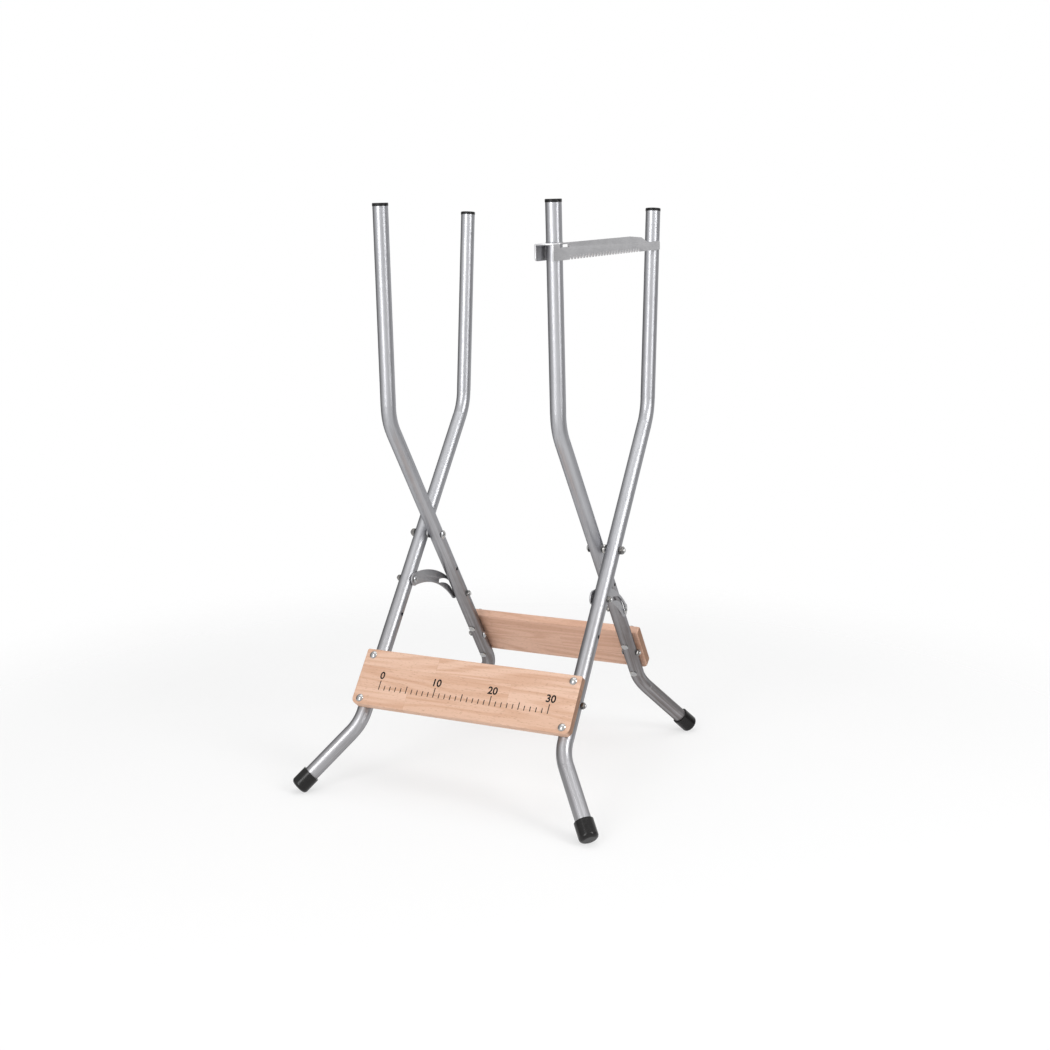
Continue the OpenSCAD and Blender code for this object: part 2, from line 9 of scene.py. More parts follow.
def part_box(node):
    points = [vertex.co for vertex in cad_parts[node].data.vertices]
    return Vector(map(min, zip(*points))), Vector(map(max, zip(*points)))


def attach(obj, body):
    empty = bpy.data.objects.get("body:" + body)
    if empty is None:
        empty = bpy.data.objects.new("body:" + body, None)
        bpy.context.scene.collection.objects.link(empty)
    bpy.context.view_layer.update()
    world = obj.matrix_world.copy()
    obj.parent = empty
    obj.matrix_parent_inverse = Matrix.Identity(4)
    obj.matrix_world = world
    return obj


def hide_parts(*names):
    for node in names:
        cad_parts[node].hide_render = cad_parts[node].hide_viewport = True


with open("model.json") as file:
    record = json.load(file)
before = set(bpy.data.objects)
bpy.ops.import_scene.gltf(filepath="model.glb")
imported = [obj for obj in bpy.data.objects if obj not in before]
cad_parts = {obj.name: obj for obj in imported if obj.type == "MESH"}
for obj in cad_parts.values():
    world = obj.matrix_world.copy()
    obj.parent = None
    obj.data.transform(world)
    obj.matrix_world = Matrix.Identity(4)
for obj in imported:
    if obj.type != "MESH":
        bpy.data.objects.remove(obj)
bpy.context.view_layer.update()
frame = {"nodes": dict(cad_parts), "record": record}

MM = 0.001

# Tubes: their slants, and the reach from the crossing bolt to the upper and the lower bend
LEG_SLANT = math.radians(37)
UPRIGHT_LEAN = math.radians(3.5)
FOOT_SPLAY = math.radians(32)
UPPER_REACH = 266 * MM
LOWER_REACH = 348.6 * MM
BEND_BLEND = 30 * MM

# Boards: sizes, corners and bolt holes
BOARD_HEIGHT = 95 * MM
BOARD_THICKNESS = 15 * MM
LOW_CORNER = 10 * MM
LOW_CORNER_STEPS = 8
TOP_CORNER = 3 * MM
TOP_CORNER_STEPS = 4
CORNER_MARGIN = 1 * MM
BOARD_EDGE = 1.1 * MM
BOARD_EDGE_STEPS = 3
BOARD_EDGE_ANGLE = math.radians(50)
BOLT_INSET = 10 * MM
BOLT_HOLE_R = 3.2 * MM
BOLT_HOLE_SIDES = 32
STAVE_HEIGHT = 37 * MM
STAVE_LENGTH = 310 * MM

# Scale printed on the front board: the marks' heights by their rank, and the numbers
SCALE_STEP = 10 * MM
SCALE_STEPS = 30
SCALE_LINE = 1.5 * MM
SCALE_MARKS = {10: 16 * MM, 5: 12 * MM, 1: 8 * MM}
SCALE_BASE = -20 * MM
NUMBER_RANK = 10
NUMBER_SIZE = 17 * MM
NUMBER_WEIGHT = 0.45 * MM
NUMBER_GAP = 3 * MM
INK_DEPTH = 0.1 * MM

# Eased edges of the stays, the toothed bar and the nuts
SHEET_EDGE = 0.35 * MM
NUT_EDGE = 0.3 * MM
EASED_STEPS = 2
EASED_ANGLE = math.radians(40)
FLAT_ANGLE = math.radians(0.5)
SMOOTH_ANGLE = math.radians(35)
MERGE_GAP = 0.001 * MM
SAME_PLACE = 0.01 * MM


def middle(node):
    """Centre of a solid's box."""
    low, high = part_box(node)
    return (Vector(low) + Vector(high)) / 2


def body_of(node):
    """Name of the body that carries a solid."""
    bodies = frame["record"]["behaviour"]["bodies"]
    return next(body for body, solids in bodies.items() if node in solids)


CROSSING_Z = middle("crossing_bolts").z
OUTER_X = middle("rear_right_cap").x
INNER_X = middle("front_right_cap").x


class Wire:
    """An output of a node; sums of wires add Math nodes."""

    def __init__(self, nodes, socket):
        self.nodes = nodes
        self.socket = socket

    def beside(self, name):
        """Another output of the same node."""
        return Wire(self.nodes, self.socket.node.outputs[name])

    def math(self, operation, *others):
        return self.nodes.math(operation, self, *others)

    def __add__(self, other):
        return self.math("ADD", other)

    def __radd__(self, other):
        return self.math("ADD", other)

    def __sub__(self, other):
        return self.math("SUBTRACT", other)

    def __rsub__(self, other):
        return self.nodes.math("SUBTRACT", other, self)

    def __mul__(self, other):
        return self.math("MULTIPLY", other)

    def __rmul__(self, other):
        return self.math("MULTIPLY", other)

    def __pow__(self, other):
        return self.math("POWER", other)


class Nodes:
    """The nodes of one finish, or of the world."""

    def __init__(self, owner):
        owner.use_nodes = True
        self.tree = owner.node_tree
        self.tree.nodes.clear()

    def add(self, kind, settings=None, sockets=None, output=0):
        """A new node: its settings first, then the values or links of its sockets."""
        node = self.tree.nodes.new(kind)
        for name, value in (settings or {}).items():
            setattr(node, name, value)
        for name, value in (sockets or {}).items():
            if isinstance(value, Wire):
                self.tree.links.new(value.socket, node.inputs[name])
            else:
                node.inputs[name].default_value = value
        return Wire(self, node.outputs[output]) if len(node.outputs) else None

    def math(self, operation, *values):
        return self.add("ShaderNodeMath", {"operation": operation}, dict(enumerate(values)))

    def mix(self, factor, first, second):
        """A blend of two colours."""
        sockets = {0: factor, 6: first, 7: second}
        return self.add("ShaderNodeMix", {"data_type": "RGBA"}, sockets, output=2)

    def coordinates(self, kind):
        return self.add("ShaderNodeTexCoord", output=kind)

    def place(self, turn=(0, 0, 0), centre=(0, 0, 0)):
        """Object coordinates, seen from a piece's own turned frame."""
        sockets = {"Vector": self.coordinates("Object"), "Location": centre, "Rotation": turn}
        return self.add("ShaderNodeMapping", {"vector_type": "TEXTURE"}, sockets)

    def stretch(self, vector, scale):
        return self.add("ShaderNodeVectorMath", {"operation": "MULTIPLY"}, {0: vector, 1: scale})

    def split(self, vector):
        x = self.add("ShaderNodeSeparateXYZ", sockets={"Vector": vector})
        return x, x.beside("Y"), x.beside("Z")

    def join(self, x, y, z):
        return self.add("ShaderNodeCombineXYZ", sockets={"X": x, "Y": y, "Z": z})

    def noise(self, vector, scale, detail=3.0, roughness=0.55, distortion=0.0):
        sockets = {"Vector": vector, "Scale": scale, "Detail": detail,
                   "Roughness": roughness, "Distortion": distortion}
        return self.add("ShaderNodeTexNoise", sockets=sockets)

    def range(self, value, low, high):
        """0 at the low value, 1 at the high one, with a smooth step between."""
        sockets = {"Value": value, "From Min": low, "From Max": high}
        return self.add("ShaderNodeMapRange", {"interpolation_type": "SMOOTHSTEP"}, sockets)

    def side_facing(self):
        """1 where the surface faces left or right, 0 where it faces neither."""
        x, _, _ = self.split(self.coordinates("Normal"))
        return x.math("ABSOLUTE")

    def bump(self, height, distance, strength):
        sockets = {"Height": height, "Distance": distance, "Strength": strength}
        return self.add("ShaderNodeBump", sockets=sockets)

    def surface(self, sockets):
        shader = self.add("ShaderNodeBsdfPrincipled", sockets=sockets)
        self.add("ShaderNodeOutputMaterial", sockets={"Surface": shader})


def new_finish(name):
    """An empty finish and its nodes."""
    finish = bpy.data.materials.new(name)
    return finish, Nodes(finish)


# Zinc tube: tones, patches of its grain in a metre, and their draw along the tube
TUBE_SHADE = (0.438, 0.442, 0.462, 1)
TUBE_LIGHT = (0.517, 0.521, 0.542, 1)
TUBE_DULL = (0.22, 0.22, 0.225, 1)
# warm dark tone of the painted shade towards the floor
TUBE_PAINTED_SHADE = (0.175, 0.153, 0.148, 1)
TUBE_RIM = (0.45, 0.45, 0.46, 1)
TUBE_ROUGHNESS = 0.36
TUBE_RELIEF = 0.01 * MM
STREAK_SCALE = 700
STREAK_DRAW = 0.008
BAND_SCALE = 130
BAND_DRAW = 0.03
CLOUD_SCALE = 30
SPANGLE_SCALE = 520
# Heights between which painted shade grows towards the floor, and its share on each frame
PAINTED_SHADE_START = 0.5
PAINTED_SHADE_FULL = 0.2
OUTER_PAINTED_SHADE = 0.28
INNER_PAINTED_SHADE = 0.7
# Moves the pattern of the left tubes away from that of the right ones
SIDE_SHIFT = 3


def tube_place(nodes, axis_x, side):
    """Place on a bent tube: outward and forward from its axis, along it, and height."""
    x, y, z = nodes.split(nodes.coordinates("Object"))
    rise = z - CROSSING_Z
    slant = rise * math.tan(LEG_SLANT)
    corner = UPPER_REACH * (math.sin(LEG_SLANT) - math.cos(LEG_SLANT) * math.tan(UPRIGHT_LEAN))
    lean = rise * math.tan(UPRIGHT_LEAN) + corner
    axis_y = slant.math("SMOOTH_MIN", lean, BEND_BLEND)
    below = -LOWER_REACH * math.cos(LEG_SLANT) - rise
    splay = below * (math.tan(FOOT_SPLAY) / math.cos(LEG_SLANT))
    outward = x.math("ABSOLUTE") - axis_x - splay.math("SMOOTH_MAX", 0.0, BEND_BLEND)
    along = z + x.math("SIGN") * SIDE_SHIFT
    return outward, y * side - axis_y, along, z


def zinc_tube(name, axis_x, side, painted_shade_share):
    """Satin zinc with fine streaks drawn along the tube, and painted shade towards the floor."""
    finish, nodes = new_finish(name)
    outward, forward, along, height = tube_place(nodes, axis_x, side)
    place = nodes.join(outward, forward, along)
    streak_place = nodes.join(outward, forward, along * STREAK_DRAW)
    band_place = nodes.join(outward, forward, along * BAND_DRAW)
    streaks = nodes.noise(streak_place, STREAK_SCALE, detail=3, roughness=0.6)
    bands = nodes.noise(band_place, BAND_SCALE, detail=2, roughness=0.5)
    cloud = nodes.noise(place, CLOUD_SCALE, detail=4, roughness=0.6)
    spangle = nodes.noise(place, SPANGLE_SCALE, detail=2, roughness=0.5)
    pale = nodes.range(bands * 0.7 + cloud * 0.3, 0.3, 0.7)
    dull = nodes.range(streaks * 0.94 + spangle * 0.06, 0.38, 0.66)
    # painted shade: a warm dark tone in patches, growing towards the floor, strongest on the inner
    # frame
    floor_nearness = nodes.range(height + cloud * 0.08, PAINTED_SHADE_START, PAINTED_SHADE_FULL)
    painted_shade = floor_nearness * painted_shade_share * (1.2 - pale * 0.65 + dull * 0.3)
    tone = nodes.mix(pale, TUBE_SHADE, TUBE_LIGHT)
    tone = nodes.mix(dull * 0.24, tone, TUBE_DULL)
    tone = nodes.mix(painted_shade, tone, TUBE_PAINTED_SHADE)
    nodes.surface({"Base Color": tone, "Metallic": 1.0,
                   "Normal": nodes.bump(streaks, TUBE_RELIEF, 0.15),
                   "Roughness": TUBE_ROUGHNESS + dull * 0.05,
                   "Specular Tint": TUBE_RIM})
    return finish


# Plated bolts and nuts; the nuts' dark tones are painted shade
BOLT_COOL = (0.42, 0.425, 0.44, 1)
BOLT_WARM = (0.46, 0.45, 0.43, 1)
# the nuts are plated like the bolts; their darker tones are painted shade
NUT_SHADED_COOL = (0.20, 0.195, 0.195, 1)
NUT_SHADED_WARM = (0.26, 0.25, 0.235, 1)
PLATED_DULL = (0.17, 0.17, 0.17, 1)
PLATED_ROUGHNESS = 0.14
PLATED_RELIEF = 0.03 * MM
TINT_SCALE = 160
MARK_SCALE = 1400


def plated(name, cool, warm):
    """Plated bolts or nuts, with a faint warm and cool tint."""
    finish, nodes = new_finish(name)
    place = nodes.place()
    tint = nodes.range(nodes.noise(place, TINT_SCALE, detail=2), 0.35, 0.65)
    marks = nodes.noise(place, MARK_SCALE)
    dull = nodes.range(marks, 0.45, 0.75)
    tone = nodes.mix(tint, cool, warm)
    tone = nodes.mix(dull * 0.4, tone, PLATED_DULL)
    nodes.surface({"Base Color": tone, "Metallic": 1.0,
                   "Roughness": PLATED_ROUGHNESS + dull * 0.14,
                   "Normal": nodes.bump(marks, PLATED_RELIEF, 0.3)})
    return finish


# Rolled plate of the stays
PLATE_SHADE = (0.315, 0.313, 0.325, 1)
PLATE_LIGHT = (0.39, 0.388, 0.40, 1)
PLATE_SCUFF = (0.50, 0.50, 0.505, 1)
PLATE_ROUGHNESS = 0.38
PLATE_RELIEF = 0.03 * MM
MOTTLE_SCALE = 90
SCUFF_SCALE = 700


def dark_zinc():
    """Rolled plate of the stays, dark and slightly mottled."""
    finish, nodes = new_finish("dark_zinc")
    place = nodes.place()
    mottle = nodes.range(nodes.noise(place, MOTTLE_SCALE, detail=4), 0.3, 0.7)
    scuffs = nodes.range(nodes.noise(place, SCUFF_SCALE), 0.55, 0.75)
    tone = nodes.mix(mottle, PLATE_SHADE, PLATE_LIGHT)
    tone = nodes.mix(scuffs * 0.4, tone, PLATE_SCUFF)
    nodes.surface({"Base Color": tone, "Metallic": 0.9,
                   "Roughness": PLATE_ROUGHNESS + mottle * 0.14,
                   "Normal": nodes.bump(scuffs, PLATE_RELIEF, 0.4)})
    return finish


# Pressed sheet of the toothed bar, brushed along its length
SHEET_SHADE = (0.505, 0.503, 0.515, 1)
SHEET_LIGHT = (0.55, 0.548, 0.56, 1)
SHEET_DULL = (0.34, 0.34, 0.345, 1)
# lighter tone of edges and faces not turned sideways: partly bare cut steel, partly painted highlight
SHEET_CUT_AND_HIGHLIGHT = (0.66, 0.66, 0.67, 1)
SHEET_ROUGHNESS = 0.46
SHEET_RELIEF = 0.02 * MM
BRUSH_SCALE = 1100
BRUSH_DRAW = (1, 0.02, 1)
SHEET_CLOUD_SCALE = 45


def sheet_steel():
    """Pressed zinc sheet of the toothed bar, lighter on cut edges and faces not turned sideways:
    partly bare steel, partly painted highlight.
    """
    finish, nodes = new_finish("sheet_steel")
    place = nodes.place()
    brushed = nodes.noise(nodes.stretch(place, BRUSH_DRAW), BRUSH_SCALE, detail=3, roughness=0.6)
    cloud = nodes.range(nodes.noise(place, SHEET_CLOUD_SCALE), 0.3, 0.7)
    dull = nodes.range(brushed, 0.4, 0.7)
    # cut edges and faces not turned sideways: partly bare steel, partly painted highlight
    cut_and_highlight = 1 - nodes.range(nodes.side_facing(), 0.3, 0.9)
    tone = nodes.mix(cloud, SHEET_SHADE, SHEET_LIGHT)
    tone = nodes.mix(dull * 0.25, tone, SHEET_DULL)
    tone = nodes.mix(cut_and_highlight, tone, SHEET_CUT_AND_HIGHLIGHT)
    nodes.surface({"Base Color": tone, "Metallic": 1.0,
                   "Roughness": SHEET_ROUGHNESS + dull * 0.1 - cut_and_highlight * 0.14,
                   "Normal": nodes.bump(brushed, SHEET_RELIEF, 0.3)})
    return finish


# Beech: tones, and its grain in patches a metre along, through and across a board
FRONT_PALE = (0.75, 0.505, 0.378, 1)
FRONT_BROWN = (0.60, 0.35, 0.23, 1)
REAR_PALE = (0.76, 0.49, 0.365, 1)
REAR_BROWN = (0.60, 0.34, 0.23, 1)
BEECH_FLECK = (0.36, 0.19, 0.11, 1)
# end grain tones, darker than end grain alone: partly painted shade
END_GRAIN_AND_SHADE = (0.30, 0.16, 0.095, 1)
END_PORES_AND_SHADE = (0.15, 0.075, 0.042, 1)
BEECH_ROUGHNESS = 0.5
BEECH_RELIEF = 0.12 * MM
FIGURE_GRAIN = (1.2, 8, 13)
FIGURE_SCALE = 1.5
FIGURE_RINGS = 80
WANDER_GRAIN = (4, 110, 110)
STREAK_GRAIN = (3, 380, 380)
FIBRE_GRAIN = (30, 1400, 1400)
FLECK_GRAIN = (150, 1300, 1100)
PORE_GRAIN = (30, 1500, 1500)
# Staves: the stagger of their ends, steps in their numbers, and how far their grain is moved apart
STAVE_STAGGER = 0.437
STAVE_STEP = 3.7
ROW_STEP = 11.3
STAVE_APART = (7, 3, 5)
# Glue lines, in shares of a stave's height and length
SEAM_SHARE = 0.015
BUTT_SHARE = 0.0015
# Each board starts at a place of its own in the pattern
FRONT_SEED = 1
REAR_SEED = 6
SEED_SHIFT = 0.37


def glue_line(nodes, staves, share):
    """A line where one stave ends and the next starts, on both sides of the joint."""
    return nodes.range((staves.math("FRACT") - 0.5).math("ABSOLUTE"), 0.5 - share, 0.5)


def beech_staves(nodes, slant, seed):
    """Rows of glued staves: a number and a grain of its own for each, and the glue lines."""
    x, y, z = nodes.split(nodes.place((slant, 0, 0), (seed * SEED_SHIFT, 0, CROSSING_Z)))
    across = z * (1 / STAVE_HEIGHT) + seed
    row = across.math("FLOOR")
    lengthwise = x * (1 / STAVE_LENGTH) + row * STAVE_STAGGER
    stave = lengthwise.math("FLOOR") * STAVE_STEP + row * ROW_STEP + seed
    own = nodes.add("ShaderNodeTexWhiteNoise", {"noise_dimensions": "1D"}, {"W": stave})
    apart_x, apart_y, apart_z = STAVE_APART
    place = nodes.join(x + own * apart_x, y + own * apart_y, z + own * apart_z)
    seam = glue_line(nodes, across, SEAM_SHARE)
    butt = glue_line(nodes, lengthwise, BUTT_SHARE)
    return own, place, seam.math("MAXIMUM", butt)


def beech(name, slant, seed, pale, brown):
    """Glued beech staves: soft figure, fine streaks, ray flecks, brown end grain deepened by painted
    shade.
    """
    finish, nodes = new_finish(name)
    own, place, glue = beech_staves(nodes, slant, seed)

    def grain(patches, detail, roughness):
        return nodes.noise(nodes.stretch(place, patches), 1.0, detail, roughness)

    # Figure: soft bands that run with the grain
    field = nodes.noise(nodes.stretch(place, FIGURE_GRAIN), FIGURE_SCALE,
                        detail=2, roughness=0.45, distortion=0.3)
    bands = (field * FIGURE_RINGS).math("SINE") * 0.5 + 0.5
    figure = nodes.range(bands * 0.55 + grain(WANDER_GRAIN, 3, 0.55) * 0.6, 0.4, 1.0)
    streaks = nodes.range(grain(STREAK_GRAIN, 3, 0.6), 0.45, 0.75)
    fibre = grain(FIBRE_GRAIN, 3, 0.6)
    fleck = nodes.range(grain(FLECK_GRAIN, 1, 0.4), 0.62, 0.70)
    tone = nodes.mix(figure * 0.75 + streaks * 0.35, pale, brown)
    tone = nodes.mix(nodes.range(own, 0.2, 0.95) * 0.3, tone, brown)
    tone = nodes.mix(fleck * 0.4 + fibre * 0.12, tone, BEECH_FLECK)
    tone = nodes.mix(glue * 0.3, tone, BEECH_FLECK)
    # End grain on the sawn ends, darkened further as painted shade
    end = nodes.range(nodes.side_facing(), 0.55, 0.9)
    end_grain_and_shade_tone = nodes.mix(grain(PORE_GRAIN, 2, 0.6) * 0.7 + figure * 0.3, END_GRAIN_AND_SHADE, END_PORES_AND_SHADE)
    tone = nodes.mix(end * 0.92, tone, end_grain_and_shade_tone)
    relief = fibre * 0.6 + figure * 0.3 - fleck * 0.3
    nodes.surface({"Base Color": tone,
                   "Roughness": BEECH_ROUGHNESS + fibre * 0.16 + end * 0.1,
                   "Normal": nodes.bump(relief, BEECH_RELIEF, 0.5)})
    return finish


# Print on the front board
INK_BLACK = (0.008, 0.0075, 0.0075, 1)
INK_THIN = (0.06, 0.042, 0.033, 1)
INK_GRAIN = (60, 1500, 1500)
INK_ROUGHNESS = 0.55
INK_SHINE = 0.2


def ink():
    """Print on the wood, thinner where the grain is open."""
    finish, nodes = new_finish("ink")
    place = nodes.place((-LEG_SLANT, 0, 0), (0, 0, CROSSING_Z))
    grain = nodes.range(nodes.noise(nodes.stretch(place, INK_GRAIN), 1.0), 0.6, 0.75)
    tone = nodes.mix(grain * 0.4, INK_BLACK, INK_THIN)
    nodes.surface({"Base Color": tone, "Roughness": INK_ROUGHNESS + grain * 0.15,
                   "Specular IOR Level": INK_SHINE})
    return finish


# Moulded caps, feet and liner: two tones, roughness, shine and depth of the grain
CAP_MOULDING = ((0.006, 0.006, 0.006, 1), (0.018, 0.017, 0.017, 1), 0.36, 0.28, 0.03 * MM)
FOOT_MOULDING = ((0.005, 0.0045, 0.0045, 1), (0.014, 0.0125, 0.012, 1), 0.22, 0.32, 0.02 * MM)
LINER_MOULDING = ((0.20, 0.20, 0.21, 1), (0.30, 0.30, 0.31, 1), 0.45, 0.5, 0.03 * MM)
MOULD_SCALE = 1900
DUST_SCALE = 130


def moulded(name, dark, light, roughness, shine, relief):
    """Moulded plastic or rubber with a fine grain and a trace of dust."""
    finish, nodes = new_finish(name)
    place = nodes.place()
    fine = nodes.noise(place, MOULD_SCALE, detail=2, roughness=0.6)
    dust = nodes.range(nodes.noise(place, DUST_SCALE, detail=5, roughness=0.65), 0.5, 0.75)
    tone = nodes.mix(dust * 0.5 + fine * 0.2, dark, light)
    nodes.surface({"Base Color": tone, "Roughness": roughness + dust * 0.15,
                   "Specular IOR Level": shine, "Normal": nodes.bump(fine, relief, 0.6)})
    return finish


FINISHES = {
    "outer_tube": zinc_tube("outer_tube_zinc", OUTER_X, 1, OUTER_PAINTED_SHADE),
    "inner_tube": zinc_tube("inner_tube_zinc", INNER_X, -1, INNER_PAINTED_SHADE),
    "bolt_zinc": plated("bolt_zinc", BOLT_COOL, BOLT_WARM),
    "nut_zinc_painted_shade": plated("nut_zinc_painted_shade", NUT_SHADED_COOL, NUT_SHADED_WARM),
    "dark_zinc": dark_zinc(),
    "sheet_steel": sheet_steel(),
    "front_beech": beech("front_beech", -LEG_SLANT, FRONT_SEED, FRONT_PALE, FRONT_BROWN),
    "rear_beech": beech("rear_beech", LEG_SLANT, REAR_SEED, REAR_PALE, REAR_BROWN),
    "ink": ink(),
    "black_plastic": moulded("black_plastic", *CAP_MOULDING),
    "black_rubber": moulded("black_rubber", *FOOT_MOULDING),
    "grey_plastic": moulded("grey_plastic", *LINER_MOULDING),
}


def finish_of(node):
    """Finish of a metal, plastic or rubber solid, from its name and its frame."""
    if node.endswith(("_upright", "_leg")):
        return "outer_tube" if body_of(node) == "front_frame" else "inner_tube"
    if node.endswith("_cap"):
        return "black_plastic"
    if node.endswith("_foot"):
        return "black_rubber"
    if node.endswith("_stay"):
        return "dark_zinc"
    if node.endswith("_nuts"):
        return "nut_zinc_painted_shade"
    return {"toothed_bar": "sheet_steel", "bar_liner": "grey_plastic"}.get(node, "bolt_zinc")


def paint(piece, finish):
    """Gives a piece one finish all over."""
    piece.data.materials.clear()
    piece.data.materials.append(FINISHES[finish])


def work_on(piece):
    """Leaves one piece alone selected and active, in object mode."""
    if bpy.context.mode != "OBJECT":
        bpy.ops.object.mode_set(mode="OBJECT")
    bpy.ops.object.select_all(action="DESELECT")
    piece.select_set(True)
    bpy.context.view_layer.objects.active = piece


def start_piece(name, add_primitive):
    """A primitive, added with nothing else selected, under its own name."""
    bpy.ops.object.select_all(action="DESELECT")
    add_primitive()
    piece = bpy.context.active_object
    piece.name = name
    piece.data.name = name
    return piece


def start_cube(name):
    """A cube of one metre, to be cut to its size."""
    return start_piece(name, lambda: bpy.ops.mesh.primitive_cube_add(size=1))


def select_edges(piece, test):
    """In edit mode, selects the edges whose two ends pass a test."""
    mesh = bmesh.from_edit_mesh(piece.data)
    for vertex in mesh.verts:
        vertex.select = False
    mesh.select_flush(False)
    for edge in mesh.edges:
        edge.select = test(edge.verts[0].co, edge.verts[1].co)
    bmesh.update_edit_mesh(piece.data)


def apply_modifier(piece, kind, **settings):
    """Adds a modifier with its settings and applies it to the mesh."""
    work_on(piece)
    modifier = piece.modifiers.new(kind.lower(), kind)
    for name, value in settings.items():
        setattr(modifier, name, value)
    bpy.ops.object.modifier_apply(modifier=modifier.name)


def fix_place(piece):
    """Puts a piece's turn and place into its mesh."""
    work_on(piece)
    bpy.ops.object.transform_apply(location=True, rotation=True, scale=True)


def at_corner(a, b, length, lower):
    """True for an edge through a board's thickness at its two lower, or upper, corners."""
    through = abs(a.x - b.x) < SAME_PLACE and abs(a.z - b.z) < SAME_PLACE
    at_end = abs(a.x) > length / 2 - CORNER_MARGIN
    at_rim = abs(a.z) > BOARD_HEIGHT / 2 - CORNER_MARGIN
    return through and at_end and at_rim and (a.z < 0) == lower


def round_corners(board, length):
    """Cuts a board to its size and rounds its four corners."""
    bpy.ops.object.mode_set(mode="EDIT")
    bpy.ops.mesh.select_mode(type="EDGE")
    bpy.ops.transform.resize(value=(length, BOARD_THICKNESS, BOARD_HEIGHT))
    corners = ((True, LOW_CORNER, LOW_CORNER_STEPS), (False, TOP_CORNER, TOP_CORNER_STEPS))
    for lower, radius, steps in corners:
        select_edges(board, lambda a, b: at_corner(a, b, length, lower))
        bpy.ops.mesh.bevel(offset=radius, segments=steps, affect="EDGES", clamp_overlap=True)
    bpy.ops.object.mode_set(mode="OBJECT")


def drill_board(board, bolt_x):
    """Drills a board's four bolt holes."""
    bolt_z = BOARD_HEIGHT / 2 - BOLT_INSET
    for side in (-1, 1):
        for height in (-1, 1):
            place = (side * bolt_x, 0, height * bolt_z)
            cutter = start_piece("bolt_hole", lambda: bpy.ops.mesh.primitive_cylinder_add(
                vertices=BOLT_HOLE_SIDES, radius=BOLT_HOLE_R, depth=2 * BOARD_THICKNESS,
                location=place, rotation=(math.pi / 2, 0, 0)))
            apply_modifier(board, "BOOLEAN", object=cutter, operation="DIFFERENCE", solver="EXACT")
            bpy.data.objects.remove(cutter)


def make_board(node, body, finish, slant, bolt_x):
    """A beech board: rounded corners, eased edges, four bolt holes."""
    low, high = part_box(node)
    board = start_cube(node + "_planed")
    round_corners(board, high[0] - low[0])
    apply_modifier(board, "BEVEL", width=BOARD_EDGE, segments=BOARD_EDGE_STEPS,
                   limit_method="ANGLE", angle_limit=BOARD_EDGE_ANGLE)
    drill_board(board, bolt_x)
    board.rotation_euler = (slant, 0, 0)
    board.location = middle(node)
    fix_place(board)
    bpy.ops.object.shade_smooth_by_angle(angle=SMOOTH_ANGLE)
    paint(board, finish)
    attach(board, body)
    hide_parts(node)


def print_mark(x, height):
    """One upright line of the scale, in the board's own frame."""
    mark = start_cube("mark")
    mark.scale = (SCALE_LINE, INK_DEPTH, height)
    mark.location = (x, 0, SCALE_BASE + height / 2)
    fix_place(mark)
    return mark


def print_number(value, x, base):
    """A plain number over its mark."""
    number = start_piece("number", bpy.ops.object.text_add)
    number.data.body = str(value)
    number.data.size = NUMBER_SIZE
    number.data.align_x = "CENTER"
    number.data.extrude = INK_DEPTH / 2
    number.data.offset = NUMBER_WEIGHT
    bpy.ops.object.convert(target="MESH")
    number.rotation_euler = (math.pi / 2, 0, 0)
    number.location = (x, 0, base)
    fix_place(number)
    return number


def make_scale(node, body, slant):
    """Centimetre marks with plain numbers, printed on a board's outer face."""
    left = -SCALE_STEPS * SCALE_STEP / 2
    printed = []
    for step in range(SCALE_STEPS + 1):
        rank = max(size for size in SCALE_MARKS if step % size == 0)
        height = SCALE_MARKS[rank]
        x = left + step * SCALE_STEP
        printed.append(print_mark(x, height))
        if rank == NUMBER_RANK:
            printed.append(print_number(step, x, SCALE_BASE + height + NUMBER_GAP))
    scale = printed[0]
    work_on(scale)
    for mark in printed:
        mark.select_set(True)
    bpy.ops.object.join()
    scale.name = "board_scale"
    scale.data.name = "board_scale"
    outer_face = Vector((0, -BOARD_THICKNESS / 2, 0))
    scale.rotation_euler = (slant, 0, 0)
    scale.location = middle(node) + Matrix.Rotation(slant, 3, "X") @ outer_face
    fix_place(scale)
    paint(scale, "ink")
    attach(scale, body)


def ease_edges(node, width):
    """A copy of a sheet part or of nuts with sharp edges eased, in its place."""
    piece = bpy.data.objects.new(node + "_eased", frame["nodes"][node].data.copy())
    bpy.context.scene.collection.objects.link(piece)
    work_on(piece)
    bpy.ops.mesh.customdata_custom_splitnormals_clear()
    bpy.ops.object.mode_set(mode="EDIT")
    bpy.ops.mesh.select_all(action="SELECT")
    bpy.ops.mesh.remove_doubles(threshold=MERGE_GAP)
    bpy.ops.mesh.dissolve_limited(angle_limit=FLAT_ANGLE)
    bpy.ops.object.mode_set(mode="OBJECT")
    apply_modifier(piece, "BEVEL", width=width, segments=EASED_STEPS,
                   limit_method="ANGLE", angle_limit=EASED_ANGLE)
    bpy.ops.object.shade_smooth_by_angle(angle=SMOOTH_ANGLE)
    paint(piece, finish_of(node))
    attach(piece, body_of(node))
    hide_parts(node)


make_board("front_board", "front_frame", "front_beech", -LEG_SLANT, OUTER_X)
make_board("rear_board", "rear_frame", "rear_beech", LEG_SLANT, INNER_X)
make_scale("front_board", "front_frame", -LEG_SLANT)
for node, piece in frame["nodes"].items():
    if node.endswith("_nuts"):
        ease_edges(node, NUT_EDGE)
    elif node.endswith("_stay"):
        ease_edges(node, SHEET_EDGE)
    elif node == "toothed_bar":
        ease_edges(node, SHEET_EDGE)
    elif not node.endswith("_board"):
        paint(piece, finish_of(node))


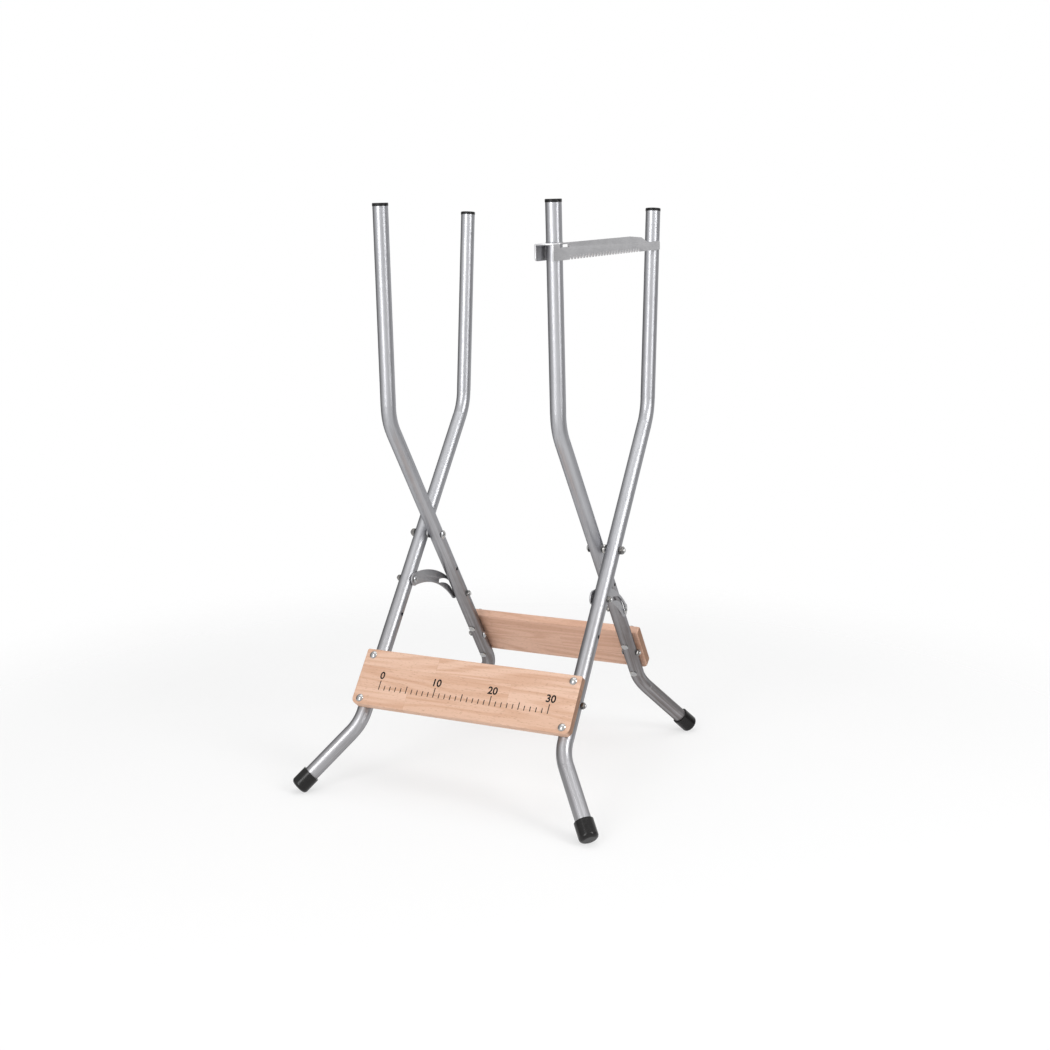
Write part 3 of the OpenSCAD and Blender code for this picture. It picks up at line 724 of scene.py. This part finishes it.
# Studio: the camera, with its lens and sensor in millimetres
LENS = 48.14
SENSOR = 36
CAMERA_PLACE = (1.0004, -2.1265, 0.8368)
CAMERA_TURN = math.radians(24.76)
CAMERA_TILT = math.radians(5.23)
FRAME_DROP = -0.119

# Lamps: place, aim, width, height and watts
LAMPS = {
    "key": ((-0.35, -2.7, 1.35), (0, 0, 0.6), 0.85, 2.4, 33),
    "side": ((2.5, -0.6, 1.4), (0, 0, 0.6), 0.7, 2.4, 20),
    "high": ((2.6, -0.55, 2.1), (0, 0, 0.3), 1.1, 1.2, 15),
    "top": ((0, 0.3, 2.9), (0, 0, 0), 2.2, 2.2, 20),
}

# Floor: it clears away between two radii, and part of what is seen of it is plain white
FLOOR_SIZE = 8
FLOOR_DROP = 0.1 * MM
FLOOR_TONE = (0.93, 0.93, 0.93, 1)
FLOOR_WHITE_SHARE = 0.6
FADE_START = 0.7
FADE_END = 1.5

# Backdrop: strengths of its light, and the ways to the two dark flags that metal mirrors
WHITE = (1, 1, 1, 1)
FILL_LIGHT = 0.5
BACKDROP_LIGHT = 1.0
FLAG_LIGHT = 0.15
FLAGS = ((0.98, 0.17, 0), (-0.98, 0.19, 0))
FLAG_FOCUS = 4


def make_camera():
    """The camera at the photograph's viewing angle."""
    data = bpy.data.cameras.new("camera")
    data.lens = LENS
    data.sensor_width = SENSOR
    data.shift_y = FRAME_DROP
    camera = bpy.data.objects.new("camera", data)
    camera.location = CAMERA_PLACE
    camera.rotation_euler = (math.pi / 2 - CAMERA_TILT, 0, CAMERA_TURN)
    bpy.context.scene.collection.objects.link(camera)
    bpy.context.scene.camera = camera


def make_lamp(name, place, aim, width, height, power):
    """A soft panel of light that faces its aim."""
    data = bpy.data.lights.new(name, "AREA")
    data.shape = "RECTANGLE"
    data.size = width
    data.size_y = height
    data.energy = power
    lamp = bpy.data.objects.new(name, data)
    lamp.location = place
    lamp.rotation_euler = (Vector(aim) - Vector(place)).to_track_quat("-Z", "Y").to_euler()
    bpy.context.scene.collection.objects.link(lamp)


def backdrop_rays(nodes):
    """Rays that see the pale backdrop, and those among them that metal mirrors."""
    camera = nodes.add("ShaderNodeLightPath", output="Is Camera Ray")
    mirrored = camera.beside("Is Glossy Ray")
    through = camera.beside("Is Transmission Ray")
    return camera.math("MAXIMUM", mirrored).math("MAXIMUM", through), mirrored


def make_floor():
    """A pale floor that keeps the shadow and fades into the backdrop."""
    bpy.ops.object.select_all(action="DESELECT")
    bpy.ops.mesh.primitive_plane_add(size=FLOOR_SIZE, location=(0, 0, -FLOOR_DROP))
    floor = bpy.context.active_object
    floor.name = "floor"
    finish, nodes = new_finish("pale_floor")
    place = {0: nodes.coordinates("Object")}
    away = nodes.add("ShaderNodeVectorMath", {"operation": "LENGTH"}, place, output="Value")
    fade = nodes.range(away, FADE_START, FADE_END)
    matt = nodes.add("ShaderNodeBsdfDiffuse", sockets={"Color": FLOOR_TONE})
    clear = nodes.add("ShaderNodeBsdfTransparent")
    white = nodes.add("ShaderNodeEmission", sockets={"Color": WHITE, "Strength": BACKDROP_LIGHT})
    seen, _ = backdrop_rays(nodes)
    sockets = {0: seen * FLOOR_WHITE_SHARE, 1: matt, 2: white}
    pale = nodes.add("ShaderNodeMixShader", sockets=sockets)
    blend = nodes.add("ShaderNodeMixShader", sockets={0: fade, 1: pale, 2: clear})
    nodes.add("ShaderNodeOutputMaterial", sockets={"Surface": blend})
    floor.data.materials.append(finish)


def make_world():
    """White to the camera; metal also sees the two dark flags beside the backdrop."""
    world = bpy.data.worlds.new("studio")
    bpy.context.scene.world = world
    nodes = Nodes(world)
    seen, mirrored = backdrop_rays(nodes)
    way = nodes.coordinates("Generated")
    shade = 0
    for flag in FLAGS:
        sockets = {0: way, 1: flag}
        near = nodes.add("ShaderNodeVectorMath", {"operation": "DOT_PRODUCT"}, sockets, output="Value")
        shade = shade + near.math("MAXIMUM", 0.0) ** FLAG_FOCUS
    fill, white, dark = (
        nodes.add("ShaderNodeBackground", sockets={"Color": WHITE, "Strength": strength})
        for strength in (FILL_LIGHT, BACKDROP_LIGHT, FLAG_LIGHT))
    sockets = {0: mirrored * shade, 1: white, 2: dark}
    backdrop = nodes.add("ShaderNodeMixShader", sockets=sockets)
    both = nodes.add("ShaderNodeMixShader", sockets={0: seen, 1: fill, 2: backdrop})
    nodes.add("ShaderNodeOutputWorld", sockets={"Surface": both})


make_camera()
make_floor()
make_world()
for name, lamp in LAMPS.items():
    make_lamp(name, *lamp)

bpy.context.scene.view_settings.view_transform = "Standard"
